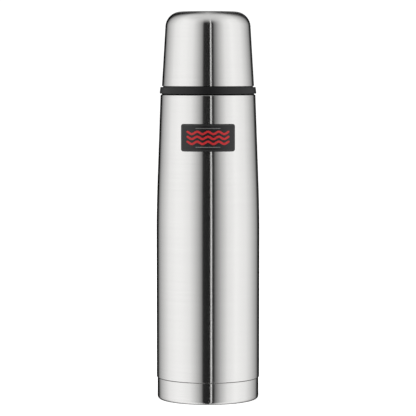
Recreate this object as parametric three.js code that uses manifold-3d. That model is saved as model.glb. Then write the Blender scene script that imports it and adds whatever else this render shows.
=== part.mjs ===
// A one litre stainless steel vacuum flask: a double-walled bottle with a threaded neck, a stopper that is
// twisted to pour, and a drinking cup that screws down over the stopper.
// Millimetres, +Z up. The origin is the centre of the ring that the flask stands on, and -Y is its front.
import * as THREE from "three";
import { mergeVertices } from "three/addons/utils/BufferGeometryUtils.js";
import Module from "manifold-3d";

const wasm = await Module();
wasm.setup();

// ---- Driving dimensions ----

// General
const SEGMENTS = 32; // sides of every round piece, so that nested walls keep parallel facets
const ARC_STEP = Math.PI / 5; // the most that a rounded corner turns between two of its points
const FACE_GAP = 0.1; // between faces that rest on each other
const RUNNING_GAP = 0.35; // between round faces that turn in each other

// Outer shell
const BODY_RADIUS = 41.5;
const OUTER_WALL = 0.5;
const SEAM_Z = 17.9; // lower edge of the shell, where the base shows below it
const BEND_Z = 153; // height at which the straight wall leans over into the taper
const BEND_RADIUS = 1260;
const TAPER = 0.036; // inward lean of the upper body, per millimetre of height
const SHOULDER_Z = 245.7;
const SHOULDER_FILLET = 0.8;
const NECK_HEIGHT = 16.6; // shoulder to mouth
const NECK_FILLET = 2;
const NECK_GROOVE_DEPTH = 0.5; // rolled groove that the collar snaps into
const NECK_GROOVE_HALF = 1.5;
const NECK_GROOVE_RISE = 7.1; // above the shoulder

// Base
const BASE_OVERLAP = 5; // length of base that is pressed up inside the shell
const BASE_LEAN = 0.05; // the base narrows by this much on its way down
const BASE_FILLET = 2.5;
const FOOT_WIDTH = 1.5; // flat width of the ring that it stands on
const PANEL_RISE = 1.8; // height of the recessed panel inside the foot
const PANEL_SLOPE = 1.6;
const DIMPLE_RADIUS = 8;
const DIMPLE_RISE = 1.6;
const VENT_RADIUS = 1.6; // hole through which the wall is pumped out
const VENT_HEAD_RADIUS = 3.4;
const VENT_HEAD_THICKNESS = 0.7;
const DISC_WALL = 0.4;
const DISC_MARGIN = 2.5; // between the cover disc and the edge of its panel

// Inner bottle
const INNER_WALL = 0.4;
const VACUUM_GAP = 2.3;
const MOUTH_RADIUS = 21.6;
const NECK_VACUUM_GAP = 2;
const THROAT_STEP = 3; // the throat below the seat is this much narrower than the mouth
const SEAT_DEPTH = 21.6; // mouth down to the top of the conical seat
const THROAT_LENGTH = 2;
const INNER_SHOULDER_DROP = 4.5; // fall of the inner shoulder from the throat to the wall
const INNER_SHOULDER_FILLET = 7;
const INNER_FLOOR_Z = 8.2; // underside of the inner bottle
const INNER_DOME_RISE = 2.8;
const INNER_DOME_SLOPE = 6;
const INNER_FOOT_WIDTH = 10.2; // from the foot of the dome to the wall
const INNER_CORNER_FILLET = 7;
const FLOOR_CUP_HEIGHT = 13; // height of the welded-in bottom
const TUBE_LAP = 7; // how far the tube reaches down around it
const FOIL_WALL = 0.2;
const FOIL_GAP = 0.3;
const FOIL_MARGIN = 6; // bare length of inner tube below and above the foil

// Getter, under the dome of the inner bottle
const GETTER_RADIUS = 6;
const GETTER_HEIGHT = 2.2;
const CLIP_WIDTH = 7;
const CLIP_WALL = 0.4;
const CLIP_FOOT = 4;

// Threads: two starts and one lead for both, so that cup and stopper rise alike
const THREAD_LEAD = 12;
const THREAD_STARTS = 2;
const THREAD_PLAY = 0.3; // along the axis, between the flanks that bear on each other
const RIDGE_ROOT_HALF = 1.3;
const RIDGE_CREST_HALF = 0.6;
const RIDGE_CLEARANCE = 0.5; // from a crest to the wall opposite
const RIDGE_BITE = 0.7; // radial overlap of two engaged ridges
const RIDGE_SUNK = 0.25; // depth of a ridge's root inside its own wall
const CUP_THREAD_RISE = 4.2; // start of the collar's ridges above the rim of the closed cup

// Neck collar
const COLLAR_GASKET_WALL = 0.3;
const COLLAR_GASKET_INSET = 0.4; // the gasket is narrower than the flange by this much
const COLLAR_FLANGE_WALL = 0.7;
const COLLAR_WALL = 1.6;
const COLLAR_HOLLOW = 1.8; // open gap between its inner sleeve and its threaded skirt
const COLLAR_DROP = 1; // top of the collar below the mouth

// Cup
const CUP_WALL = 0.5;
const CUP_HEIGHT = 59.5; // of its steel shell
const CUP_LEAN = 0.06; // inward lean of the wall, per millimetre of height
const CUP_FILLET = 12.4;
const LINER_WALL = 1.5;
const LINER_GAP = 1.45;
const BAND_HEIGHT = 5.25;
const BAND_OVERHANG = 1.9; // band beyond the steel shell, at its lower edge
const BAND_LEAN = 0.65;
const BAND_CHAMFER = 0.5;
const BAND_GROOVE_HEIGHT = 0.8; // shadow groove between the band and the steel shell
const BAND_GROOVE_INSET = 0.25; // floor of the groove inside the face of the steel shell
const CUP_GASKET_WALL = 0.55;
const CUP_GASKET_WIDTH = 3.8;
const CUP_GASKET_INSET = 0.15; // from the rounding of the shoulder
const CUP_LIFT_GAP = 0.2; // between the closed cup and its gasket
const SLEEVE_WALL = 1.3;
const SLEEVE_HEIGHT = 12;

// Stopper
const PLUG_WALL = 2.4;
const POUR_WIDTH = 10;
const POUR_DEPTH = 1.2;
const FLANGE_OVERHANG = 0.5; // of the stopper's flange beyond the lip of the mouth
const FLANGE_WALL = 1.6;
const SPIGOT_WALL = 1.6;
const SPIGOT_HEIGHT = 3;
const GRIP_WALL = 1.8;
const GRIP_HEIGHT = 14;
const GRIP_LEAN = 0.05;
const GRIP_FILLET = 3.5;
const SCALLOPS = 12;
const SCALLOP_RADIUS = 3;
const SCALLOP_DEPTH = 0.9;
const SCALLOP_MARGIN = 2.5; // plain height below the scallops
const SEAL_HEIGHT = 3.3;
const SEAL_WIDTH = 2.8;
const PLUG_BASE_WALL = 1.6;
const PLUG_BASE_SKIRT = 6.5; // length of its skirt inside the plug
const CORE_GAP = 0.4;

// Badge
const BADGE_WIDTH = 42.6; // straight across
const BADGE_HEIGHT = 21.7;
const BADGE_CORNER = 1.8;
const BADGE_DROP = 33.6; // shoulder down to its middle
const BADGE_WALL = 0.6;
const ADHESIVE_WALL = 0.25;

// ---- Materials ----

const finish = (color, roughness, metalness) =>
  new THREE.MeshStandardMaterial({ color, roughness, metalness });
const BRUSHED_STEEL = finish(0xc9c9c7, 0.32, 1);
const SATIN_STEEL = finish(0xbfc0c0, 0.4, 1);
const FOIL = finish(0xd9dadb, 0.15, 1);
const GETTER_ALLOY = finish(0x6d6a66, 0.8, 0.6);
const SEALING_GLASS = finish(0x3c4a45, 0.2, 0);
const BLACK_PLASTIC = finish(0x2f3032, 0.55, 0);
const BADGE_PLASTIC = finish(0x29292b, 0.4, 0);
const DARK_RUBBER = finish(0x1d1d1e, 0.8, 0);
const CLEAR_SILICONE = finish(0xd8d9d6, 0.5, 0);
const FOAM = finish(0xf1f0ec, 0.95, 0);
const ADHESIVE = finish(0xe9e6dc, 0.7, 0);

// ---- Outlines, as points (radius, height) ----

// A line through corners [radius, height, fillet], with each inner corner rounded to its fillet radius.
function line(...corners) {
  const at = corners.map(([r, z]) => new THREE.Vector2(r, z));
  return corners.flatMap(([, , fillet = 0], i) => {
    if (!fillet) return [at[i]];
    const back = at[i - 1].clone().sub(at[i]).normalize();
    const ahead = at[i + 1].clone().sub(at[i]).normalize();
    const half = Math.acos(back.dot(ahead)) / 2;
    const middle = back.clone().add(ahead).normalize();
    const centre = at[i].clone().addScaledVector(middle, fillet / Math.sin(half));
    const first = at[i].clone().addScaledVector(back, fillet / Math.tan(half)).sub(centre);
    const side = Math.sign(back.cross(ahead));
    const turn = -side * (Math.PI - 2 * half);
    const steps = Math.max(2, Math.ceil(Math.abs(turn) / ARC_STEP));
    return Array.from({ length: steps + 1 }, (_, k) =>
      first.clone().rotateAround(new THREE.Vector2(), (turn * k) / steps).add(centre),
    );
  });
}

// The same line moved to its left, which is inwards on a line that runs up a wall.
function inset(points, distance) {
  const normals = points.slice(1).map((p, i) => {
    const step = p.clone().sub(points[i]).normalize();
    return new THREE.Vector2(-step.y, step.x);
  });
  return points.map((p, i) => {
    const before = normals[Math.max(i - 1, 0)];
    const after = normals[Math.min(i, normals.length - 1)];
    const mitre = before.clone().add(after).divideScalar(1 + before.dot(after));
    return p.clone().addScaledVector(mitre, distance);
  });
}

// The closed outline of a sheet whose outer face is the line and whose wall lies to its left.
const sheet = (points, wall) => [...points, ...inset(points, wall).reverse()];

// ---- Solids ----

// A closed outline turned about the Z axis. An outline that touches the axis starts and ends on it.
function turned(outline) {
  const onAxis = (p) => Math.abs(p.x) < 1e-9;
  const open = outline.some(onAxis);
  const first = open ? outline.findIndex((p, i) => onAxis(p) && onAxis(outline.at(i - 1))) : 0;
  const ring = [...outline.slice(first), ...outline.slice(0, first)];
  if (!open) ring.push(ring[0]);
  if (THREE.ShapeUtils.area(ring) < 0) ring.reverse();
  return new THREE.LatheGeometry(ring, SEGMENTS).rotateX(Math.PI / 2);
}

// A geometry as a manifold-3d solid, and back.
function solid(geometry) {
  const bare = geometry.index ? geometry.toNonIndexed() : geometry.clone();
  bare.deleteAttribute("normal").deleteAttribute("uv");
  const merged = mergeVertices(bare, 1e-4);
  const vertProperties = merged.getAttribute("position").array;
  const triVerts = new Uint32Array(merged.index.array);
  return new wasm.Manifold(new wasm.Mesh({ numProp: 3, vertProperties, triVerts }));
}

function geometryOf(body) {
  const { vertProperties, triVerts } = body.getMesh();
  const geometry = new THREE.BufferGeometry();
  geometry.setAttribute("position", new THREE.BufferAttribute(vertProperties, 3));
  return geometry.setIndex(new THREE.BufferAttribute(triVerts, 1));
}

// One ridge of a thread, on a wall of the given radius: side 1 stands outwards and -1 inwards. It climbs
// from height z through the angle turn, starting at the angle from, and fades out at both ends.
function ridge({ radius, side, height, z, turn, from }) {
  const root = radius - side * RIDGE_SUNK;
  const crest = radius + side * height;
  const section = new THREE.Shape([
    new THREE.Vector2(root, -RIDGE_ROOT_HALF),
    new THREE.Vector2(crest, -RIDGE_CREST_HALF),
    new THREE.Vector2(crest, RIDGE_CREST_HALF),
    new THREE.Vector2(root, RIDGE_ROOT_HALF),
  ]);
  const step = (2 * Math.PI) / SEGMENTS;
  const steps = Math.round(turn / step);
  const geometry = new THREE.ExtrudeGeometry(section, { depth: steps, steps, bevelEnabled: false });
  const at = geometry.getAttribute("position");
  for (let i = 0; i < at.count; i++) {
    const along = steps - Math.round(at.getZ(i));
    const angle = along * step;
    const fade = Math.min(1, 0.2 + 0.4 * along, 0.2 + 0.4 * (steps - along));
    const r = root + (at.getX(i) - root) * fade;
    const height = z + at.getY(i) + (THREAD_LEAD * angle) / (2 * Math.PI);
    at.setXYZ(i, r * Math.cos(from + angle), r * Math.sin(from + angle), height);
  }
  return solid(geometry);
}

// A turned wall with a ridge for each start of its thread.
function threaded(wall, thread) {
  let body = solid(wall);
  for (let start = 0; start < THREAD_STARTS; start++) {
    body = body.add(ridge({ ...thread, from: thread.from + (start * 2 * Math.PI) / THREAD_STARTS }));
  }
  return body;
}

function mesh(name, shape, material) {
  const made = new THREE.Mesh(shape.isBufferGeometry ? shape : geometryOf(shape), material);
  made.name = name;
  return made;
}

// ---- Sizes that follow from the driving dimensions ----

const RIDGE_HEIGHT = RIDGE_CLEARANCE + RIDGE_BITE;
const THREADED_GAP = RIDGE_HEIGHT + RIDGE_CLEARANCE; // between the walls of an engaged pair
const FLANK_OFFSET = RIDGE_ROOT_HALF + RIDGE_CREST_HALF + THREAD_PLAY; // between ridges that bear

const taperRadius = (z) => BODY_RADIUS - TAPER * (z - BEND_Z);
const mouthZ = SHOULDER_Z + NECK_HEIGHT;
const innerNeckRadius = MOUTH_RADIUS + INNER_WALL;
const neckRadius = innerNeckRadius + NECK_VACUUM_GAP + OUTER_WALL;
const throatRadius = MOUTH_RADIUS - THROAT_STEP;
const seatTopZ = mouthZ - SEAT_DEPTH;
const seatBottomZ = seatTopZ - THROAT_STEP;
const baseRadius = BODY_RADIUS - OUTER_WALL - FACE_GAP;
const dimpleZ = PANEL_RISE + DIMPLE_RISE;
const footInnerRadius = baseRadius - BASE_LEAN - BASE_FILLET - FOOT_WIDTH;
const panelRadius = footInnerRadius - PANEL_SLOPE;
const innerRadius = BODY_RADIUS - OUTER_WALL - VACUUM_GAP; // vacuum side of the inner bottle
const domeZ = INNER_FLOOR_Z + INNER_DOME_RISE;

const collarGasketZ = SHOULDER_Z + FACE_GAP;
const collarZ = collarGasketZ + COLLAR_GASKET_WALL + FACE_GAP;
const collarBore = neckRadius + RUNNING_GAP;
const collarRadius = collarBore + COLLAR_WALL + COLLAR_HOLLOW + COLLAR_WALL;
const sleeveRadius = collarRadius + THREADED_GAP;
const sleeveOuter = sleeveRadius + SLEEVE_WALL;
const sleeveLean = CUP_LEAN * (SLEEVE_HEIGHT - BAND_HEIGHT); // lean of the liner over its height
const linerRimRadius = sleeveOuter + RUNNING_GAP + sleeveLean + LINER_WALL;
const cupRimRadius = linerRimRadius + LINER_GAP + CUP_WALL;
const collarFlangeRadius = sleeveRadius - RUNNING_GAP; // it stands inside the rim of the closed cup
const cupGasketZ = SHOULDER_Z + FACE_GAP;
const cupGasketRadius = taperRadius(SHOULDER_Z) - SHOULDER_FILLET - CUP_GASKET_INSET;
const cupZ = cupGasketZ + CUP_GASKET_WALL + CUP_LIFT_GAP;
const plugRadius = MOUTH_RADIUS - THREADED_GAP;
const stopperRadius = neckRadius + FLANGE_OVERHANG;
const badgeZ = SHOULDER_Z - BADGE_DROP;

// ---- Body of the flask ----

// Outer face of the shell, from the seam up over the shoulder to the top of the neck.
const grooveZ = SHOULDER_Z + NECK_GROOVE_RISE;
const grooveRadius = neckRadius - NECK_GROOVE_DEPTH;
const shellLine = line(
  [BODY_RADIUS, SEAM_Z],
  [BODY_RADIUS, BEND_Z, BEND_RADIUS],
  [taperRadius(SHOULDER_Z), SHOULDER_Z, SHOULDER_FILLET],
  [neckRadius, SHOULDER_Z, NECK_FILLET],
  [neckRadius, grooveZ - NECK_GROOVE_HALF],
  [grooveRadius, grooveZ - NECK_GROOVE_HALF + NECK_GROOVE_DEPTH],
  [grooveRadius, grooveZ + NECK_GROOVE_HALF - NECK_GROOVE_DEPTH],
  [neckRadius, grooveZ + NECK_GROOVE_HALF],
  [neckRadius, mouthZ - INNER_WALL - FACE_GAP],
);

// Outer face of the base, from the vent out to the foot and up inside the shell.
const baseLine = line(
  [VENT_RADIUS, dimpleZ],
  [DIMPLE_RADIUS - DIMPLE_RISE, dimpleZ],
  [DIMPLE_RADIUS, PANEL_RISE],
  [panelRadius, PANEL_RISE],
  [footInnerRadius, 0],
  [baseRadius - BASE_LEAN, 0, BASE_FILLET],
  [baseRadius, SEAM_Z],
  [baseRadius, SEAM_Z + BASE_OVERLAP],
);

// Glass that seals the vent: a stem in the hole under a wide head.
function ventPlug() {
  const stem = VENT_RADIUS - FACE_GAP;
  const headTop = dimpleZ - FACE_GAP;
  const outline = line(
    [0, headTop - VENT_HEAD_THICKNESS],
    [VENT_HEAD_RADIUS, headTop - VENT_HEAD_THICKNESS],
    [VENT_HEAD_RADIUS, headTop],
    [stem, headTop],
    [stem, dimpleZ + OUTER_WALL],
    [0, dimpleZ + OUTER_WALL],
  );
  return turned(outline);
}

function coverDisc() {
  const radius = panelRadius - DISC_MARGIN;
  const top = PANEL_RISE - FACE_GAP;
  const bottom = top - DISC_WALL;
  const outline = line(
    [0, bottom],
    [radius - DISC_WALL / 2, bottom],
    [radius, bottom + DISC_WALL / 2],
    [radius, top],
    [0, top],
  );
  return turned(outline);
}

// Vacuum side of the inner tube, from its lower end up through shoulder, throat, seat and neck to the lip.
const innerTubeZ = INNER_FLOOR_Z + FLOOR_CUP_HEIGHT - TUBE_LAP;
const innerShoulderZ = seatBottomZ - THROAT_LENGTH - INNER_SHOULDER_DROP;
const innerWallTop = taperRadius(innerShoulderZ) - OUTER_WALL - VACUUM_GAP;
const tubeLine = line(
  [innerRadius, innerTubeZ],
  [innerRadius, BEND_Z, BEND_RADIUS],
  [innerWallTop, innerShoulderZ, INNER_SHOULDER_FILLET],
  [throatRadius + INNER_WALL, innerShoulderZ + INNER_SHOULDER_DROP],
  [throatRadius + INNER_WALL, seatBottomZ],
  [innerNeckRadius, seatTopZ],
  [innerNeckRadius, mouthZ - INNER_WALL],
  [neckRadius, mouthZ - INNER_WALL],
);

const neckThread = {
  radius: MOUTH_RADIUS,
  side: -1,
  height: RIDGE_HEIGHT,
  z: mouthZ - 12.5,
  turn: Math.PI * 1.4,
  from: 0,
};

// Vacuum side of the bottom, which is welded into the tube: a raised dome, then the corner and a short wall.
const floorRadius = innerRadius - INNER_WALL - FACE_GAP;
const domeFoot = floorRadius - INNER_FOOT_WIDTH;
const floorLine = line(
  [0, domeZ],
  [domeFoot - INNER_DOME_SLOPE, domeZ],
  [domeFoot, INNER_FLOOR_Z],
  [floorRadius, INNER_FLOOR_Z, INNER_CORNER_FILLET],
  [floorRadius, INNER_FLOOR_Z + FLOOR_CUP_HEIGHT],
);

// Foil wrapped round the tube, which follows its wall and bend.
function foil() {
  const radius = innerRadius + FOIL_GAP + FOIL_WALL;
  const top = innerShoulderZ - INNER_SHOULDER_FILLET - FOIL_MARGIN;
  const outer = line(
    [radius, innerTubeZ + FOIL_MARGIN],
    [radius, BEND_Z, BEND_RADIUS],
    [radius - TAPER * (top - BEND_Z), top],
  );
  return turned(sheet(outer, FOIL_WALL));
}

// A strap spot-welded under the dome, with the getter held against the steel inside its loop.
const getterZ = domeZ - FACE_GAP - GETTER_HEIGHT;
function getterClip() {
  const loop = GETTER_RADIUS + FACE_GAP + CLIP_WALL;
  const top = domeZ - FACE_GAP;
  const bottom = getterZ - FACE_GAP - CLIP_WALL;
  const under = line(
    [-loop - CLIP_FOOT, top - CLIP_WALL],
    [-loop, top - CLIP_WALL],
    [-loop, bottom],
    [loop, bottom],
    [loop, top - CLIP_WALL],
    [loop + CLIP_FOOT, top - CLIP_WALL],
  );
  const shape = new THREE.Shape(sheet(under, CLIP_WALL));
  return new THREE.ExtrudeGeometry(shape, { depth: CLIP_WIDTH, bevelEnabled: false })
    .rotateX(Math.PI / 2)
    .translate(0, CLIP_WIDTH / 2, 0);
}

function getter() {
  return new THREE.CylinderGeometry(GETTER_RADIUS, GETTER_RADIUS, GETTER_HEIGHT, SEGMENTS / 2)
    .rotateX(Math.PI / 2)
    .translate(0, 0, getterZ + GETTER_HEIGHT / 2);
}

// Moulded collar with the cup's thread: a flange on the shoulder, an outer skirt, and an inner sleeve on
// the steel neck, joined across the top. A bead in its bore snaps into the groove of the neck.
function collar() {
  const top = mouthZ - COLLAR_DROP;
  const skirtBore = collarRadius - COLLAR_WALL;
  const sleeve = collarBore + COLLAR_WALL;
  const bead = NECK_GROOVE_DEPTH;
  const outline = line(
    [skirtBore, collarZ],
    [collarFlangeRadius, collarZ],
    [collarFlangeRadius, collarZ + COLLAR_FLANGE_WALL],
    [collarRadius, collarZ + COLLAR_FLANGE_WALL],
    [collarRadius, top, 1],
    [collarBore, top],
    [collarBore, grooveZ + bead],
    [collarBore - bead, grooveZ],
    [collarBore, grooveZ - bead],
    [collarBore, collarZ + NECK_FILLET],
    [sleeve, collarZ + NECK_FILLET],
    [sleeve, top - COLLAR_WALL],
    [skirtBore, top - COLLAR_WALL],
  );
  return threaded(turned(outline), {
    radius: collarRadius,
    side: 1,
    height: RIDGE_HEIGHT,
    z: cupZ + CUP_THREAD_RISE,
    turn: Math.PI * 1.375,
    from: 0,
  });
}

// A flat ring.
function gasket(bore, radius, z, wall) {
  return turned(line([bore, z], [radius, z], [radius, z + wall], [bore, z + wall]));
}

function collarGasket() {
  const radius = collarFlangeRadius - COLLAR_GASKET_INSET;
  return gasket(collarRadius - COLLAR_WALL, radius, collarGasketZ, COLLAR_GASKET_WALL);
}

// A plate that lies on the tapered front of the shell, from one height above its face to another.
function frontPlate(from, to) {
  const half = BADGE_HEIGHT / 2;
  const face = (distance, z) => [taperRadius(z) + distance, z];
  const band = line(
    face(to, badgeZ - half - 1),
    face(to, badgeZ + half + 1),
    face(from, badgeZ + half + 1),
    face(from, badgeZ - half - 1),
  );
  const w = BADGE_WIDTH / 2;
  const c = BADGE_CORNER;
  const outline = new THREE.Shape()
    .absarc(w - c, half - c, c, 0, Math.PI / 2)
    .absarc(c - w, half - c, c, Math.PI / 2, Math.PI)
    .absarc(c - w, c - half, c, Math.PI, Math.PI * 1.5)
    .absarc(w - c, c - half, c, Math.PI * 1.5, Math.PI * 2);
  const settings = { depth: BODY_RADIUS * 2, bevelEnabled: false, curveSegments: 4 };
  const window = new THREE.ExtrudeGeometry(outline, settings).rotateX(Math.PI / 2).translate(0, 0, badgeZ);
  return solid(turned(band)).intersect(solid(window));
}

const adhesiveTop = FACE_GAP + ADHESIVE_WALL;
const plateBack = adhesiveTop + FACE_GAP;
const body = new THREE.Group();
body.add(
  mesh("outer_shell", turned(sheet(shellLine, OUTER_WALL)), BRUSHED_STEEL),
  mesh("outer_base", turned(sheet(baseLine, OUTER_WALL)), BRUSHED_STEEL),
  mesh("vent_plug", ventPlug(), SEALING_GLASS),
  mesh("base_disc", coverDisc(), SATIN_STEEL),
  mesh("inner_bottle", threaded(turned(sheet(tubeLine, INNER_WALL)), neckThread), SATIN_STEEL),
  mesh("inner_bottom", turned(sheet(floorLine, INNER_WALL)), SATIN_STEEL),
  mesh("reflective_foil", foil(), FOIL),
  mesh("getter", getter(), GETTER_ALLOY),
  mesh("getter_clip", getterClip(), SATIN_STEEL),
  mesh("collar_gasket", collarGasket(), DARK_RUBBER),
  mesh("neck_collar", collar(), BLACK_PLASTIC),
  mesh("badge_adhesive", frontPlate(FACE_GAP, adhesiveTop), ADHESIVE),
  mesh("badge_plate", frontPlate(plateBack, plateBack + BADGE_WALL), BADGE_PLASTIC),
);

// ---- Stopper, with its height counted from the mouth ----

const plugEnd = -SEAT_DEPTH + 0.3; // lower end of the plug, just above the seat
const plugBore = plugRadius - PLUG_WALL;
const flangeZ = FACE_GAP * 3;
const flangeTop = flangeZ + FLANGE_WALL;
const spigotRadius = stopperRadius - GRIP_LEAN * SPIGOT_HEIGHT - GRIP_WALL - FACE_GAP;

// Hollow plug with the thread, a flange that covers the mouth, and a spigot that centres the grip.
function plug() {
  const outline = line(
    [plugBore, plugEnd],
    [plugRadius, plugEnd],
    [plugRadius, flangeZ],
    [stopperRadius, flangeZ],
    [stopperRadius, flangeTop],
    [spigotRadius, flangeTop],
    [spigotRadius, flangeTop + SPIGOT_HEIGHT],
    [spigotRadius - SPIGOT_WALL, flangeTop + SPIGOT_HEIGHT],
    [spigotRadius - SPIGOT_WALL, flangeTop],
    [plugBore, flangeTop],
  );
  const thread = {
    radius: plugRadius,
    side: 1,
    height: RIDGE_HEIGHT,
    z: neckThread.z - mouthZ - FLANK_OFFSET,
    turn: Math.PI * 1.2,
    from: neckThread.from,
  };
  const channel = new THREE.BoxGeometry(POUR_WIDTH, 2 * stopperRadius, flangeZ - plugEnd + 1);
  channel.translate(0, plugRadius - POUR_DEPTH + stopperRadius, (flangeZ + plugEnd - 1) / 2);
  const cut = solid(channel);
  return threaded(turned(outline), thread).subtract(cut).subtract(cut.rotate([0, 0, 180]));
}

// Hollow grip that closes the stopper, with finger scallops round its wall.
const gripZ = flangeTop + FACE_GAP;
function grip() {
  const outer = line(
    [stopperRadius, gripZ],
    [stopperRadius - GRIP_LEAN * GRIP_HEIGHT, gripZ + GRIP_HEIGHT, GRIP_FILLET],
    [0, gripZ + GRIP_HEIGHT],
  );
  let made = solid(turned(sheet(outer, GRIP_WALL)));
  const length = GRIP_HEIGHT - GRIP_FILLET - 2 * SCALLOP_MARGIN;
  const middle = gripZ + SCALLOP_MARGIN + length / 2;
  const radius = stopperRadius - GRIP_LEAN * (middle - gripZ) + SCALLOP_RADIUS - SCALLOP_DEPTH;
  for (let i = 0; i < SCALLOPS; i++) {
    const scallop = new THREE.CapsuleGeometry(SCALLOP_RADIUS, length - SCALLOP_RADIUS, 2, 8)
      .rotateX(Math.PI / 2 + Math.atan(GRIP_LEAN))
      .translate(0, -radius, middle)
      .rotateZ((i * 2 * Math.PI) / SCALLOPS);
    made = made.subtract(solid(scallop));
  }
  return made;
}

// Silicone seal clamped between plug and base, with a conical face that matches the seat in the throat.
const sealTop = plugEnd - FACE_GAP;
const sealBottom = sealTop - SEAL_HEIGHT;
const sealRadius = plugRadius + RIDGE_CLEARANCE / 2;
function seal() {
  const seatAt = (r) => -SEAT_DEPTH - (MOUTH_RADIUS - r) + RUNNING_GAP;
  const land = throatRadius - RUNNING_GAP;
  const bore = sealRadius - SEAL_WIDTH;
  const outline = line(
    [bore, sealBottom],
    [land, sealBottom],
    [land, Math.max(seatAt(land), sealBottom + 0.2)],
    [sealRadius, seatAt(sealRadius)],
    [sealRadius, sealTop],
    [bore, sealTop],
  );
  return turned(outline);
}

// Lower closure: a plate under the seal and a skirt that is welded into the plug.
const skirtRadius = Math.min(sealRadius - SEAL_WIDTH, plugBore) - RUNNING_GAP;
function plugBase() {
  const plateTop = sealBottom - FACE_GAP;
  const plateRadius = throatRadius - RUNNING_GAP;
  const outline = line(
    [0, plateTop - PLUG_BASE_WALL],
    [plateRadius, plateTop - PLUG_BASE_WALL],
    [plateRadius, plateTop],
    [skirtRadius, plateTop],
    [skirtRadius, plateTop + PLUG_BASE_SKIRT],
    [skirtRadius - PLUG_BASE_WALL, plateTop + PLUG_BASE_SKIRT],
    [skirtRadius - PLUG_BASE_WALL, plateTop],
    [0, plateTop],
  );
  return turned(outline);
}

// Foam that fills the stopper from its base to the top of the grip.
function core() {
  const radius = skirtRadius - PLUG_BASE_WALL - CORE_GAP;
  const bottom = sealBottom - FACE_GAP + CORE_GAP;
  const top = gripZ + GRIP_HEIGHT - GRIP_WALL - CORE_GAP;
  return turned(line([0, bottom], [radius, bottom], [radius, top], [0, top]));
}

const stopper = new THREE.Group();
stopper.position.z = mouthZ;
stopper.add(
  mesh("stopper_plug", plug(), BLACK_PLASTIC),
  mesh("stopper_grip", grip(), BLACK_PLASTIC),
  mesh("stopper_seal", seal(), CLEAR_SILICONE),
  mesh("stopper_base", plugBase(), BLACK_PLASTIC),
  mesh("stopper_foam", core(), FOAM),
);

// ---- Cup, upside down over the stopper, with its height counted from its rim ----

const grooveTop = BAND_HEIGHT + BAND_GROOVE_HEIGHT;
const shellZ = grooveTop + FACE_GAP;
const cupLine = line(
  [cupRimRadius, shellZ],
  [cupRimRadius - CUP_LEAN * CUP_HEIGHT, shellZ + CUP_HEIGHT, CUP_FILLET],
  [0, shellZ + CUP_HEIGHT],
);
const linerLine = inset(cupLine, CUP_WALL + LINER_GAP);
linerLine[0].y = shellZ;

// Rim ring: the band that shows below the steel, a shadow groove over it on which the steel shell stands,
// and a sleeve inside the liner with the cup's thread.
function rimRing() {
  const outer = cupRimRadius + BAND_OVERHANG;
  const grooveFloor = cupRimRadius - BAND_GROOVE_INSET;
  const outline = line(
    [sleeveRadius + BAND_CHAMFER, 0],
    [outer - BAND_CHAMFER, 0],
    [outer, BAND_CHAMFER],
    [outer - BAND_LEAN, BAND_HEIGHT],
    [grooveFloor, BAND_HEIGHT],
    [grooveFloor, grooveTop],
    [sleeveOuter, grooveTop],
    [sleeveOuter, SLEEVE_HEIGHT],
    [sleeveRadius, SLEEVE_HEIGHT],
    [sleeveRadius, BAND_CHAMFER],
  );
  return threaded(turned(outline), {
    radius: sleeveRadius,
    side: -1,
    height: RIDGE_HEIGHT,
    z: CUP_THREAD_RISE - FLANK_OFFSET,
    turn: Math.PI * 1.25,
    from: 0,
  });
}

// Loose ring on the shoulder, under the band, which the cup drags round with it.
function cupGasket() {
  const ring = gasket(cupGasketRadius - CUP_GASKET_WIDTH, cupGasketRadius, cupGasketZ, CUP_GASKET_WALL);
  return mesh("cup_gasket", ring, DARK_RUBBER);
}

const cup = new THREE.Group();
cup.position.z = cupZ;
cup.add(
  mesh("cup_shell", turned(sheet(cupLine, CUP_WALL)), BRUSHED_STEEL),
  mesh("cup_liner", turned(sheet(linerLine, LINER_WALL)), BLACK_PLASTIC),
  mesh("cup_rim_ring", rimRing(), BLACK_PLASTIC),
);

const flask = new THREE.Group();
flask.add(body, stopper, cupGasket(), cup);

export default flask;
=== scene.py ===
"""The looks of a one litre steel vacuum flask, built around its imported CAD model."""

import math

import bpy
import numpy as np
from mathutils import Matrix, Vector


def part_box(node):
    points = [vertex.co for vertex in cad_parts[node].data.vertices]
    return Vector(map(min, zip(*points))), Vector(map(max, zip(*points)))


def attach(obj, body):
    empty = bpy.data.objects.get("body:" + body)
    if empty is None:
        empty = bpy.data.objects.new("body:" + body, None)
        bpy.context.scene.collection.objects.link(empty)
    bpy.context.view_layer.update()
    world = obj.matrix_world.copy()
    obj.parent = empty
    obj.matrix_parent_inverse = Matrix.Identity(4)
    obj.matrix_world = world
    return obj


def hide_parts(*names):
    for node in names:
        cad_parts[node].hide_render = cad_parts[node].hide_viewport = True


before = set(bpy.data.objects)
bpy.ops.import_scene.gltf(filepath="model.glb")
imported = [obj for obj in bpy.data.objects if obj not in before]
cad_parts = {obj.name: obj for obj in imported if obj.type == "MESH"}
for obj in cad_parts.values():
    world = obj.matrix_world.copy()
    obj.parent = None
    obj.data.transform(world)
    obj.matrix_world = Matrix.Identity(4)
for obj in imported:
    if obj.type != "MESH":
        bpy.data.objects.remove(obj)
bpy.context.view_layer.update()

# ---- Sizes in millimetres, taken from the frame where a box gives them ----

MM = 0.001
SIDES = 240  # columns of every turned surface


def low(node):
    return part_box(node)[0] / MM


def high(node):
    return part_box(node)[1] / MM


STEEL = 0.5  # outer sheet
INNER_STEEL = 0.4
FACE_GAP = 0.1  # between faces that rest on each other
RUNNING_GAP = 0.35  # between round faces that turn in each other
SMALL_ROUND = 0.3  # rounding of a moulded edge

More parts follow.
